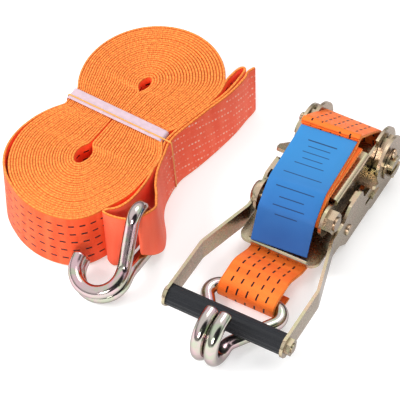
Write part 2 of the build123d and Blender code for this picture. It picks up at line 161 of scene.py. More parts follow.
def webbing(name, line, side, width=strap_width, thick=strap_thick, columns=5, start=0.0,
            closed=False):
    """Strap mesh along a line of centre points, its width along side.

    The UV map is in metres: first across the strap from one edge to the other, below 0 and
    above the width on the rolled edges, then along the strap from start.
    """
    line = np.asarray(line, float)
    side = np.broadcast_to(np.asarray(side, float), line.shape)
    side = side / np.linalg.norm(side, axis=1)[:, None]
    ahead = directions(line)
    if closed:
        ahead = np.roll(line, -1, axis=0) - np.roll(line, 1, axis=0)
        ahead = ahead / np.linalg.norm(ahead, axis=1)[:, None]
    normal = np.cross(side, ahead)
    normal /= np.linalg.norm(normal, axis=1)[:, None]
    width = np.broadcast_to(np.asarray(width, float), (len(line),))
    ring = web_section(columns)
    size = len(ring)
    radius = np.broadcast_to(np.asarray(thick, float), (len(line),)) / 2
    points = np.empty((len(line), size, 3))
    across = np.empty((len(line), size))
    for j, (share, out, up) in enumerate(ring):
        offset = share * (width / 2 - radius) + math.copysign(out, share) * radius
        points[:, j] = line + side * offset[:, None] + normal * (up * radius)[:, None]
        across[:, j] = (share + 1) / 2 * strap_width + math.copysign(out, share)
    along = start + run_lengths(line)
    faces = []
    for i in range(len(line) if closed else len(line) - 1):
        this, following = i * size, (i + 1) % len(line) * size
        for j in range(size):
            k = (j + 1) % size
            faces.append((this + j, this + k, following + k, following + j))
    if not closed:
        faces.append(tuple(range(size - 1, -1, -1)))
        faces.append(tuple(range(len(line) * size - size, len(line) * size)))
    mesh = bpy.data.meshes.new(name)
    mesh.from_pydata((points.reshape(-1, 3) * MM).tolist(), [], faces)
    corner_vertex = np.empty(len(mesh.loops), int)
    mesh.loops.foreach_get("vertex_index", corner_vertex)
    place = np.stack([across.reshape(-1)[corner_vertex] * MM,
                      np.repeat(along, size)[corner_vertex] * MM], axis=1)
    layer = mesh.uv_layers.new(name="strap")
    layer.data.foreach_set("uv", place.astype(np.float32).reshape(-1))
    mesh.polygons.foreach_set("use_smooth", [True] * len(mesh.polygons))
    mesh.validate()
    return in_scene(name, mesh)


def ease(share):
    """Smooth rise from 0 to 1."""
    return share * share * (3 - 2 * share)


def from_reach(line):
    """(reach, z) points as (x, y, z) points in the middle plane of the ratchet."""
    line = np.asarray(line, float)
    return np.stack([np.zeros(len(line)), -line[:, 0], line[:, 1]], axis=1)


# ---------------------------------------------------------------- materials
def feed(tree, socket, value):
    """Sets a socket from a constant or another socket."""
    if isinstance(value, bpy.types.NodeSocket):
        tree.links.new(value, socket)
    else:
        socket.default_value = value


def feed_all(tree, made, inputs):
    """Sets several inputs of a node by name or number."""
    for key, value in inputs.items():
        feed(tree, made.inputs[key], value)


def node(tree, kind, inputs=None, **settings):
    """Adds a shader node; inputs holds constants or the sockets that feed it."""
    made = tree.nodes.new(kind)
    for key, value in settings.items():
        setattr(made, key, value)
    feed_all(tree, made, inputs or {})
    return made


def noise(tree, place, scale, detail, distortion=0.0):
    """Value of a noise texture."""
    made = node(tree, "ShaderNodeTexNoise",
                {"Vector": place, "Scale": scale, "Detail": detail, "Distortion": distortion})
    return made.outputs[0]


def object_place(tree):
    """Place on the object in metres."""
    return node(tree, "ShaderNodeTexCoord").outputs["Object"]


def strap_place(tree):
    """Strap map in metres: the place itself, then across the strap and along it."""
    place = node(tree, "ShaderNodeUVMap", uv_map="strap").outputs[0]
    parts = node(tree, "ShaderNodeSeparateXYZ", {0: place})
    return place, parts.outputs[0], parts.outputs[1]


def maths(tree, operation, a, b=0.0, c=0.0):
    """Result of one math node."""
    return node(tree, "ShaderNodeMath", {0: a, 1: b, 2: c}, operation=operation).outputs[0]


def ramp(tree, value, low_value, high_value, to_low=0.0, to_high=1.0):
    """Smooth step of value between two limits."""
    limits = {"From Min": low_value, "From Max": high_value, "To Min": to_low, "To Max": to_high}
    made = node(tree, "ShaderNodeMapRange", {"Value": value, **limits},
                interpolation_type="SMOOTHSTEP")
    return made.outputs["Result"]


def off_middle(tree, value):
    """How far the fraction of a value lies from one half, to draw evenly repeated marks."""
    return maths(tree, "ABSOLUTE", maths(tree, "SUBTRACT", maths(tree, "FRACT", value), 0.5))


def between(tree, value, first, last, soft=0.0002):
    """Mask of a value between two limits, with soft edges."""
    return maths(tree, "MULTIPLY", ramp(tree, value, first - soft, first + soft),
                 ramp(tree, value, last + soft, last - soft))


def mix_colour(tree, share, first, second):
    """Mix of two colours."""
    inputs = {0: share, 6: first, 7: second}
    return node(tree, "ShaderNodeMix", inputs, data_type="RGBA").outputs[2]


def new_material(name):
    """Material that holds only its Principled shader and its output."""
    material = bpy.data.materials.new(name)
    material.use_nodes = True
    tree = material.node_tree
    tree.nodes.clear()
    shader = node(tree, "ShaderNodeBsdfPrincipled")
    node(tree, "ShaderNodeOutputMaterial", {0: shader.outputs[0]})
    return material, tree, shader


def new_group(name, inputs, outputs):
    """Node group with named inputs (name, kind, default) and outputs (name, kind)."""
    tree = bpy.data.node_groups.new(name, "ShaderNodeTree")
    for label, kind, default in inputs:
        socket = tree.interface.new_socket(label, in_out="INPUT", socket_type=kind)
        socket.default_value = default
    for label, kind in outputs:
        tree.interface.new_socket(label, in_out="OUTPUT", socket_type=kind)
    return tree, tree.nodes.new("NodeGroupInput"), tree.nodes.new("NodeGroupOutput")


def use_group(tree, group, inputs):
    """Places a node group in a material with that material's own values."""
    return node(tree, "ShaderNodeGroup", inputs, node_tree=group)


FLOAT, COLOUR = "NodeSocketFloat", "NodeSocketColor"


def weave_group():
    """Woven strap read from its map in metres: tracer dashes, ribs, edges and uneven dye."""
    row_space = 0.172                       # between rows of dashes, as a share of the width
    dash_cycle, dash_lag = 0.0092, 0.0011   # from dash to dash, and from row to row
    rib_pitch, cord_pitch, pick_pitch = 0.0016, 0.0018, 0.0034
    tree, given, made = new_group(
        "woven strap",
        [("Tracer", FLOAT, 1.0), ("Width", FLOAT, 0.05)],
        [("Dashes", FLOAT), ("Edge", FLOAT), ("Crest", FLOAT), ("Fleck", FLOAT), ("Height", FLOAT),
         ("Dye", FLOAT)])
    width = given.outputs["Width"]
    place, across, along = strap_place(tree)
    # five rows of dark tracer dashes
    from_middle = maths(tree, "SUBTRACT", maths(tree, "DIVIDE", across, width), 0.5)
    rows = maths(tree, "DIVIDE", from_middle, row_space)
    nearest = maths(tree, "ROUND", rows)
    off_row = maths(tree, "ABSOLUTE", maths(tree, "SUBTRACT", rows, nearest))
    thin = ramp(tree, off_row, 0.098, 0.072)
    inside = ramp(tree, maths(tree, "ABSOLUTE", nearest), 2.6, 2.4)
    shifted = maths(tree, "MULTIPLY_ADD", nearest, dash_lag, along)
    dash = ramp(tree, off_middle(tree, maths(tree, "DIVIDE", shifted, dash_cycle)), 0.29, 0.24)
    dashes = maths(tree, "MULTIPLY", maths(tree, "MULTIPLY", thin, dash), inside)
    dashes = maths(tree, "MULTIPLY", dashes, given.outputs["Tracer"])
    # the rolled edge, and its crest where it turns to the other face; off the crest, on the edge's
    # flanks, the material paints shade
    over = maths(tree, "SUBTRACT", across, width)
    edge = maths(tree, "MAXIMUM", ramp(tree, across, 0.0004, -0.0002),
                 ramp(tree, over, -0.0004, 0.0002))
    crest = maths(tree, "MAXIMUM", ramp(tree, over, 0.0002, 0.0009),
                  ramp(tree, across, -0.0002, -0.0009))
    # light and dark flecks of the picks that show on the edge
    solid_place = object_place(tree)
    drift = noise(tree, solid_place, 90.0, 3.0)
    pick = maths(tree, "MULTIPLY_ADD", along, math.tau / pick_pitch,
                 maths(tree, "MULTIPLY", drift, 26.0))
    grit = noise(tree, solid_place, 420.0, 3.0)
    fleck = maths(tree, "MULTIPLY_ADD", maths(tree, "SINE", pick), 0.28,
                  maths(tree, "MULTIPLY_ADD", grit, 2.2, -0.6))
    fleck = ramp(tree, fleck, 0.0, 1.0)
    # ribs across the strap and cords along it, with some fuzz
    rib = maths(tree, "SINE", maths(tree, "MULTIPLY", along, math.tau / rib_pitch))
    cord = maths(tree, "SINE", maths(tree, "MULTIPLY", across, math.tau / cord_pitch))
    fuzz = maths(tree, "MULTIPLY", noise(tree, place, 900.0, 3.0), 0.6)
    height = maths(tree, "MULTIPLY_ADD", maths(tree, "MULTIPLY", rib, cord), 0.5, fuzz)
    height = maths(tree, "MULTIPLY_ADD", dashes, -0.4, height)
    height = maths(tree, "MULTIPLY_ADD", maths(tree, "MULTIPLY", edge, fleck), 1.2, height)
    # streaks of uneven dye along the strap
    stretched = node(tree, "ShaderNodeCombineXYZ",
                     {0: maths(tree, "MULTIPLY", across, 0.12), 1: along}).outputs[0]
    dye = ramp(tree, noise(tree, stretched, 95.0, 2.0), 0.3, 0.72)
    feed_all(tree, made, {"Dashes": dashes, "Edge": edge, "Crest": crest, "Fleck": fleck,
                          "Height": height, "Dye": dye})
    return tree


def plating_group():
    """Plated metal: a cast that shifts between warm and green, stains and a fine grain."""
    tree, given, made = new_group(
        "plated metal",
        [("Plain", COLOUR, (0.5, 0.5, 0.5, 1)), ("Warm", COLOUR, (0.5, 0.5, 0.5, 1)),
         ("Green", COLOUR, (0.5, 0.5, 0.5, 1)), ("Polish", FLOAT, 0.2)],
        [("Colour", COLOUR), ("Roughness", FLOAT), ("Height", FLOAT)])
    place = object_place(tree)
    tint = ramp(tree, noise(tree, place, 38.0, 3.0, 0.6), 0.35, 0.65)
    bloom = ramp(tree, noise(tree, place, 70.0, 2.0, 1.2), 0.42, 0.62)
    stain = ramp(tree, noise(tree, place, 420.0, 4.0), 0.45, 0.7)
    colour = mix_colour(tree, tint, given.outputs["Plain"], given.outputs["Warm"])
    colour = mix_colour(tree, maths(tree, "MULTIPLY", bloom, 0.6), colour, given.outputs["Green"])
    feed_all(tree, made, {
        "Colour": colour, "Height": noise(tree, place, 260.0, 2.0),
        "Roughness": maths(tree, "MULTIPLY_ADD", stain, 0.06, given.outputs["Polish"])})
    return tree


weave = weave_group()
plating = plating_group()


def bump(tree, shader, height, strength, distance):
    """Feeds a height into a shader's normal."""
    made = node(tree, "ShaderNodeBump",
                {"Height": height, "Strength": strength, "Distance": distance})
    feed(tree, shader.inputs["Normal"], made.outputs[0])


def shade(colour, share):
    """Lighter or darker tone of a colour."""
    return tuple(min(1.0, share * part) for part in colour[:3]) + (1,)


SELVEDGE_ORANGE = (0.92, 0.25, 0.052, 1)
# painted shade on the rolled edges' flanks, the dark lines between neighbouring turns
PAINTED_GAP_SHADE_ORANGE = (0.72, 0.13, 0.014, 1)
TRACER_BLACK = (0.012, 0.006, 0.008, 1)
THREAD_PINK = (1.0, 0.62, 0.48, 1)


def sewing_mask(tree):
    """Slanting rows of sewing stitches, partly worn, that fade out toward the hook."""
    stitch_space, stitch_length, slant = 0.0068, 0.0036, 0.25
    place, across, along = strap_place(tree)
    slanted = maths(tree, "MULTIPLY_ADD", along, slant, across)
    on_line = ramp(tree, off_middle(tree, maths(tree, "DIVIDE", slanted, stitch_space)), 0.15, 0.07)
    on_thread = ramp(tree, off_middle(tree, maths(tree, "DIVIDE", along, stitch_length)), 0.3, 0.2)
    unworn = ramp(tree, noise(tree, place, 160.0, 3.0), 0.42, 0.6)
    object_y = node(tree, "ShaderNodeSeparateXYZ", {0: object_place(tree)}).outputs[1]
    shows = maths(tree, "MULTIPLY", unworn, ramp(tree, object_y, -0.116, -0.092))
    return maths(tree, "MULTIPLY", maths(tree, "MULTIPLY", on_line, on_thread), shows)


def webbing_material(name, face, deep, tracer=1.0, sewn=False):
    """Orange polyester webbing, with tracer dashes or with pale sewing thread, and painted shade on
    the flanks of its rolled edges.
    """
    material, tree, shader = new_material(name)
    strap = use_group(tree, weave, {"Tracer": tracer, "Width": strap_width * MM}).outputs
    colour = mix_colour(tree, strap["Dye"], deep, face)
    if sewn:
        colour = mix_colour(tree, sewing_mask(tree), colour, THREAD_PINK)
    selvedge = mix_colour(tree, strap["Fleck"], shade(SELVEDGE_ORANGE, 0.78),
                          shade(SELVEDGE_ORANGE, 1.30))
    # painted shade: off the crest the rolled edge turns dark, standing for the shade between turns
    selvedge = mix_colour(tree, strap["Crest"], PAINTED_GAP_SHADE_ORANGE, selvedge)
    colour = mix_colour(tree, strap["Edge"], colour, selvedge)
    colour = mix_colour(tree, strap["Dashes"], colour, TRACER_BLACK)
    feed_all(tree, shader, {
        "Base Color": colour, "Roughness": 0.55, "Specular IOR Level": 0.22, "Sheen Weight": 0.06,
        "Sheen Roughness": 0.4, "Sheen Tint": (1.0, 0.75, 0.6, 1)})
    bump(tree, shader, strap["Height"], 0.5, 0.0006)
    return material


def metal_material(name, plain, warm, green, dark, polish):
    """Zinc plated steel whose passivation shifts in cast, with a painted dark reflection where the
    surface turns away from the view.
    """
    material, tree, shader = new_material(name)
    plate = use_group(tree, plating, {
        "Plain": plain, "Warm": warm, "Green": green, "Polish": polish}).outputs
    # painted dark reflection: the colour goes to the dark one where the surface turns away from the
    # view
    turned = node(tree, "ShaderNodeLayerWeight", {"Blend": 0.5}).outputs["Facing"]
    colour = mix_colour(tree, ramp(tree, turned, 0.30, 0.92), plate["Colour"], dark)
    feed_all(tree, shader, {
        "Base Color": colour, "Metallic": 1.0, "Roughness": plate["Roughness"]})
    bump(tree, shader, plate["Height"], 0.06, 0.0002)
    return material


def plastic_material():
    """Satin black grip plastic with a faint moulded grain."""
    material, tree, shader = new_material("black grip plastic")
    grain = noise(tree, object_place(tree), 900.0, 4.0)
    feed_all(tree, shader, {
        "Base Color": (0.009, 0.010, 0.013, 1), "Specular IOR Level": 0.35,
        "Roughness": ramp(tree, grain, 0.3, 0.7, 0.36, 0.5)})
    bump(tree, shader, grain, 0.15, 0.0003)
    return material


# plain rules on the label: start and end along it, then left and right across it, in metres
ruled_lines = [(0.012, 0.0132, 0.012, 0.038), (0.0185, 0.0193, 0.015, 0.035),
               (0.0250, 0.0258, 0.013, 0.037), (0.0315, 0.0323, 0.016, 0.034),
               (0.0380, 0.0388, 0.012, 0.038), (0.0500, 0.0508, 0.008, 0.042),
               (0.0640, 0.0648, 0.008, 0.042), (0.0720, 0.0728, 0.014, 0.036),
               (0.0790, 0.0798, 0.011, 0.039), (0.0860, 0.0868, 0.015, 0.035)]


def label_material():
    """Blue label cloth with plain dark rules, and painted shade toward its hanging lower end."""
    material, tree, shader = new_material("blue label cloth")
    place, across, along = strap_place(tree)
    # painted shade: the blue darkens from the label's top toward its hanging lower end
    colour = mix_colour(tree, ramp(tree, along, 0.02, 0.11), (0.024, 0.21, 0.50, 1),
                        (0.016, 0.085, 0.30, 1))
    cloud = maths(tree, "MULTIPLY", noise(tree, place, 60.0, 3.0), 0.25)
    colour = mix_colour(tree, cloud, colour, (0.05, 0.22, 0.56, 1))
    rules = 0.0
    for first, last, left, right in ruled_lines:
        rule = maths(tree, "MULTIPLY", between(tree, along, first, last),
                     between(tree, across, left, right))
        rules = maths(tree, "MAXIMUM", rule, rules)
    colour = mix_colour(tree, maths(tree, "MULTIPLY", rules, 0.85), colour, (0.008, 0.015, 0.05, 1))
    feed_all(tree, shader, {"Base Color": colour, "Roughness": 0.5, "Specular IOR Level": 0.3})
    bump(tree, shader, noise(tree, place, 1400.0, 2.0), 0.2, 0.0003)
    return material


def film_material():
    """Clear wrapping film, milky where it is folded."""
    material, tree, shader = new_material("milky wrapping film")
    folds = noise(tree, object_place(tree), 240.0, 3.0)
    feed_all(tree, shader, {
        "Base Color": (0.62, 0.46, 0.52, 1), "Roughness": 0.4,
        "Alpha": ramp(tree, folds, 0.3, 0.7, 0.86, 0.98)})
    bump(tree, shader, folds, 0.2, 0.0004)
    return material


def rubber_material():
    """Amber rubber band."""
    material, tree, shader = new_material("amber rubber")
    feed_all(tree, shader, {"Base Color": (0.78, 0.36, 0.08, 1), "Roughness": 0.5})
    return material


strap_orange = webbing_material("orange webbing", (1.0, 0.135, 0.040, 1), (0.95, 0.085, 0.020, 1))
short_orange = webbing_material("orange short webbing", (1.0, 0.215, 0.030, 1),
                                (0.95, 0.15, 0.018, 1))
stitched_orange = webbing_material("stitched orange webbing", (1.0, 0.155, 0.075, 1),
                                   (0.97, 0.115, 0.05, 1), tracer=0.0, sewn=True)
# the fourth colour of each metal is its painted dark reflection
zinc = metal_material("yellow zinc steel", (0.55, 0.445, 0.32, 1), (0.60, 0.43, 0.30, 1),
                      (0.47, 0.485, 0.29, 1), (0.16, 0.11, 0.075, 1), 0.27)
bright = metal_material("bright hook steel", (0.56, 0.50, 0.47, 1), (0.68, 0.46, 0.50, 1),
                        (0.42, 0.56, 0.36, 1), (0.13, 0.085, 0.08, 1), 0.13)
grip_black = plastic_material()
label_blue = label_material()
film = film_material()
rubber = rubber_material()


def finish_solids(material, *names):
    """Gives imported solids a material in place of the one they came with."""
    for name in names:
        nodes[name].data.materials.clear()
        nodes[name].data.materials.append(material)


finish_solids(
    zinc, "handle_left_side", "handle_right_side", "grip_rod", "grip_rod_nut", "spring_bridge",
    "bridge_rivets", "drive_pawl", "drive_pawl_spring", "base_frame", "lock_pawl",
    "lock_pawl_spring", "strap_bolt", "strap_bolt_nut", "spool_upper_half", "spool_lower_half",
    "ratchet_wheel_left", "ratchet_wheel_right", "spool_washers", "cotter_pins")
finish_solids(bright, "short_strap_hook", "long_strap_hook")
finish_solids(grip_black, "grip_sleeve")

# ---------------------------------------------------------------- short strap
# Lines in the ratchet's middle plane are (reach, z); reach is the distance toward the grip.
soft_gap = 0.3                  # between the strap and what it lies on
fold_reach, fold_rise = 20.0, 3.6    # the fold at the label's top edge, above the lower plies
spool_pass = 20.6               # radius of the strap's bend behind the spool
strap_shift = 4.2               # how far the strap has slipped to the left at the fold
seam_reach = 30.0               # where the strap's two sheets meet, under the base
wrap = bolt_round + soft_gap + strap_thick / 2
web_ply = web_top + soft_gap + strap_thick / 2
top_ply = web_ply + strap_thick + 0.1
low_ply = floor_z + 0.5 + strap_thick / 2
eye = wire_round + 0.5 + strap_thick / 2

upper_corners = [
    (26, web_ply), (bolt_reach - wrap, web_ply), (bolt_reach - wrap, bolt_z - wrap),
    (bolt_reach + wrap, bolt_z - wrap), (bolt_reach + wrap, bolt_z + 4.7),
    (bolt_reach - wrap - 1.5, top_ply), (34, top_ply), (fold_reach, top_ply + fold_rise),
    (-spool_pass, 11.8), (-spool_pass, -15), (-12, low_ply), (seam_reach, low_ply)]
upper_line = rounded_path(upper_corners, [3.4, wrap, wrap, wrap, 6, 12, 5, spool_pass, 8, 8])
lower_corners = [
    (seam_reach, low_ply), (short_bar_reach - 80.5, low_ply), (short_bar_reach - 40.5, -14.8),
    (short_bar_reach - 18.5, -3.2), (short_bar_reach + eye, short_bar_z + eye),
    (short_bar_reach + eye, short_bar_z - eye), (short_bar_reach - 18.5, low_ply)]
lower_line = rounded_path(lower_corners, [20, 20, 20, eye - 0.1, eye - 0.1])
upper_length, lower_length = run_lengths(upper_line)[-1], run_lengths(lower_line)[-1]

# from the bolt to the fold the strap slips to the left, and it comes back behind and underneath
slip = np.interp(upper_line[:, 0], [fold_reach, bolt_reach], [1, 0])
fold = int(np.argmax(upper_line[:, 0] < fold_reach + 0.5))
slip[:fold][upper_line[:fold, 1] < web_ply + 1.5] = 0      # the end sewn under it stays
to_go = upper_length - run_lengths(upper_line)
slip[fold + 1:] = ease(to_go[fold + 1:] / to_go[fold])
upper_place = from_reach(upper_line)
upper_place[:, 0] = -strap_shift * slip
upper = webbing("short_strap_over_bolt", upper_place, (1, 0, 0), columns=7)
lower = webbing("short_strap_to_hook", from_reach(lower_line), (1, 0, 0), columns=7,
                start=upper_length)

# ---------------------------------------------------------------- label and its hem
label_z = top_ply + strap_thick / 2 + 1.2
label_end = (119.0, -3.7)
label_line = rounded_path(
    [(28, label_z + 1.4), (40, label_z), (bolt_reach - wrap + 2, label_z),
     (bolt_reach + wrap + 6, bolt_z + 5), label_end], [20, 8, 10])
label_place = from_reach(label_line)
label_place[:, 0] = np.interp(label_line[:, 0], [30, 120], [-4.0, 0.6])
label = webbing("blue_label", label_place, (1, 0.09, 0), width=47.5, thick=0.8, columns=7)

# folded hem that holds the label's top edge
hem_line = rounded_path([(26.8, top_ply + 4.0), (21.6, top_ply + 5.2), (22.1, top_ply + 7.5),
                         (26.4, top_ply + 6.3)], [1.0, 1.0], 0.4)
hem_place = from_reach(hem_line)
hem_place[:, 0] = -strap_shift
hem = webbing("strap_hem", hem_place, (1, 0.068, 0), thick=1.2, columns=7)

# ---------------------------------------------------------------- coil
# The coil's plan is (x, y).  Lobes and eyes: middle x and y, then half widths in x and y.
turns = 25
far_lobe, near_lobe = (-162.2, -33.8, 60.2, 65.7), (-162.4, -135.2, 64.9, 66.6)
far_eye, near_eye = (-165.0, -40.5, 3.6, 8.0), (-169.0, -130.0, 4.6, 9.5)
waist_left, waist_right, band_y = -211.6, -121.8, -82.0
waist_middle = (waist_left + waist_right) / 2
waist_half_length = 8.0
leaving_y = -16.0               # where the last turn leaves the coil for the tail
BEYOND = 500.0                  # outside any outline
# right side of the coil beside the tail and beside the hook loop
tail_inner = [(-119.6, -75.0), (-117.4, -67.0), (-114.3, -54.0), (-110.6, -37.5), (-108.2, -22.5),
              (-108.0, -14.0), (-108.2, 0.0)]
loop_inner = [(-122.9, -88.0), (-114.7, -101.0), (-112.3, -112.0), (-112.3, -145.0),
              (-114.8, -156.0), (-119.0, -165.0), (-123.4, -174.0), (-125.4, -179.0),
              (-128.2, -185.0), (-132.2, -190.0), (-139.5, -196.2), (-144.5, -198.8)]
# points of one turn, section by section, the same in every turn
section_counts = (26, 32, 32, 26, 26, 32, 32, 26)
per_turn = sum(section_counts)


def half_width(lobe, y):
    """Half width of a lobe at a height y of the plan, or a large negative number beyond it."""
    share = (y - lobe[1]) / lobe[3]
    return lobe[2] * math.sqrt(1 - share * share) if abs(share) < 1 else -BEYOND


def outline(lobes, edge_left, edge_right, limit_right):
    """Dense closed outline round two lobes, from the waist's right side round the far lobe.

    Between the lobes it keeps outside the edges, and on the right it stays inside the limit.
    Lobes that end short of the waist are joined by a straight run.
    """
    (far_x, far_y, far_a, far_b), (near_x, near_y, near_a, near_b) = lobes
    far_joined, near_joined = abs(band_y - far_y) < far_b, abs(band_y - near_y) < near_b
    points = []
    start = math.asin((band_y - far_y) / far_b) if far_joined else -math.pi / 2
    for angle in np.linspace(start, math.pi - start, 400):
        points.append((far_x + far_a * math.cos(angle), far_y + far_b * math.sin(angle)))
    if not far_joined:
        points += [(far_x, y) for y in np.linspace(far_y - far_b, band_y, 40)]
        points += [(near_x, y) for y in np.linspace(band_y, near_y + near_b, 40)]
    start = math.asin((band_y - near_y) / near_b) if near_joined else math.pi / 2
    for angle in np.linspace(math.pi - start, math.tau + start, 400):
        points.append((near_x + near_a * math.cos(angle), near_y + near_b * math.sin(angle)))
    if not near_joined:
        points += [(near_x, y) for y in np.linspace(near_y + near_b, band_y, 40)]
        points = [(far_x, y) for y in np.linspace(band_y, far_y - far_b, 40)] + points
    shaped = []
    for i, (x, y) in enumerate(points):
        middle = far_x + (near_x - far_x) * np.clip((y - far_y) / (near_y - far_y), 0, 1)
        outer_quarters = not 0.25 <= i / len(points) <= 0.75
        on_right = x > middle or (x == middle and outer_quarters)
        if far_y > y > near_y:
            right = max(far_x + half_width(lobes[0], y), near_x + half_width(lobes[1], y),
                        edge_right(y))
            left = min(far_x - half_width(lobes[0], y), near_x - half_width(lobes[1], y),
                       edge_left(y))
            x = right if on_right else left
        shaped.append((min(x, limit_right(y)) if on_right else x, y))
    return np.array(shaped)


def pinch(y):
    """How far a lobe may stand outside the waist beside the band."""
    return 40.0 * ease(np.clip((abs(y - band_y) - 6.5) / 9.0, 0, 1))


def side_limit(y):
    """The plies of the tail and of the hook loop press the coil's right side in."""
    limit = 0.0
    if tail_inner[0][1] <= y <= tail_inner[-1][1]:
        limit = np.interp(y, [q[1] for q in tail_inner], [q[0] for q in tail_inner])
    elif loop_inner[-1][1] <= y <= loop_inner[0][1]:
        limit = np.interp(-y, [-q[1] for q in loop_inner], [q[0] for q in loop_inner])
    return min(limit, waist_right - 1.1 + pinch(y))


def slit_middle(y):
    """Middle of the slit that joins the two eyes."""
    return far_eye[0] + (near_eye[0] - far_eye[0]) * (y - far_eye[1]) / (near_eye[1] - far_eye[1])


def spread(points, far_y, near_y):
    """Points spread over eight sections between anchors, so that turns match one another."""
    top, bottom = points[:, 1].argmax(), points[:, 1].argmin()
    size = len(points)

    def crossing(first, last, y):
        section = points[first:last, 1]
        return first + int(np.abs(section - y).argmin())

    anchors = [0, crossing(0, top, far_y), top, crossing(top, size // 2, far_y),
               crossing(top, bottom, band_y), crossing(size // 2, bottom, near_y), bottom,
               crossing(bottom, size, near_y), size - 1]
    pieces = []
    for first, last, count in zip(anchors, anchors[1:], section_counts):
        section = points[first:last + 1]
        steps = run_lengths(section)
        at = np.linspace(0, steps[-1], count + 1)[:-1]
        pieces.append(np.stack([np.interp(at, steps, section[:, k]) for k in (0, 1)], axis=1))
    return np.concatenate(pieces)


def turn_round(lobes, grow, edge_left, edge_right, limit_right, passes):
    """One closed turn round two lobes that are grown by a distance, with its corners relaxed."""
    grown = [(x, y, a + grow, b + grow) for x, y, a, b in lobes]
    points = spread(outline(grown, edge_left, edge_right, limit_right), lobes[0][1], lobes[1][1])
    for _ in range(passes):
        points = (np.roll(points, 1, axis=0) + 2 * points + np.roll(points, -1, axis=0)) / 4
    return points


half_turn = strap_thick / 2
outer_turn = turn_round(
    (far_lobe, near_lobe), -half_turn,
    lambda y: waist_left + half_turn if abs(y - band_y) < waist_half_length else BEYOND,
    lambda y: waist_right - half_turn if abs(y - band_y) < waist_half_length else -BEYOND,
    side_limit, 4)
inner_turn = turn_round(
    (far_eye, near_eye), 1, lambda y: slit_middle(y) - 1.4, lambda y: slit_middle(y) + 1.4,
    lambda y: BEYOND, 3)

# the turns lie evenly between the innermost and the outermost one
tail_row = next(i for i in range(per_turn) if outer_turn[i, 1] > leaving_y)
total = turns * per_turn + tail_row
at_turn = np.arange(total) / per_turn
share = at_turn / (turns - 0.2)
column = np.arange(total) % per_turn
coil_plan = inner_turn[column] * (1 - share[:, None]) + outer_turn[column] * share[:, None]
# the outermost turn stands off the rest on the near left
loose_x, loose_y, loose_spread, stand_off = -195, -156, 30, np.array([-2.3, -0.9])
loose = np.exp(-((coil_plan[:, 1] - loose_y) / loose_spread) ** 2)
loose *= np.clip((loose_x - coil_plan[:, 0]) / 12, 0, 1)
loose *= np.clip((at_turn - turns + 1.02) / 0.04, 0, 1)
coil_plan += loose[:, None] * stand_off
pitch = np.linalg.norm(outer_turn - inner_turn, axis=1) / turns
coil_thick = np.clip(pitch[column] * 0.985, 1.5, 2.35)
# no turn stands quite level with the next
rng = np.random.default_rng(11)
lift = np.zeros(total)
for harmonic in (0.37, 0.83, 1.71):
    lift += 0.16 * np.sin(math.tau * (at_turn * harmonic + rng.uniform()))
wobble = np.interp(at_turn, np.arange(turns + 2), rng.uniform(0.0, 0.5, turns + 2))
coil_line = np.column_stack([coil_plan, floor_z + strap_width / 2 + 0.35 + lift * 0.5 + wobble])
# the last turn runs on into the tail
leave = rounded_path([tuple(coil_plan[-1]), (-109.3, -5.0), (-108.9, 2.0)], [6], 1.5)[1:]
coil_line = np.vstack([coil_line, np.column_stack([leave, np.full(len(leave), coil_line[-1, 2])])])
coil_thick = np.concatenate([coil_thick, np.full(len(leave), coil_thick[-1])])
share = np.concatenate([share, np.ones(len(leave))])
# the outer turns lean on the coil's near right side, so that their lower edges spread outward
near_right, most_lean = np.array([0.55, -0.83]), 0.13
ahead = directions(coil_line[:, :2])
outward = np.column_stack([ahead[:, 1], -ahead[:, 0]])
lean = np.clip(outward @ near_right, 0, 1)
lean *= np.clip((-100 - coil_line[:, 1]) / 40, 0, 1)
lean *= share ** 3 * most_lean
coil_side = np.column_stack([-outward * lean[:, None], np.ones(len(coil_line))])
coil = webbing("wound_strap", coil_line, coil_side, columns=3, thick=coil_thick)
coil_length = run_lengths(coil_line)[-1]

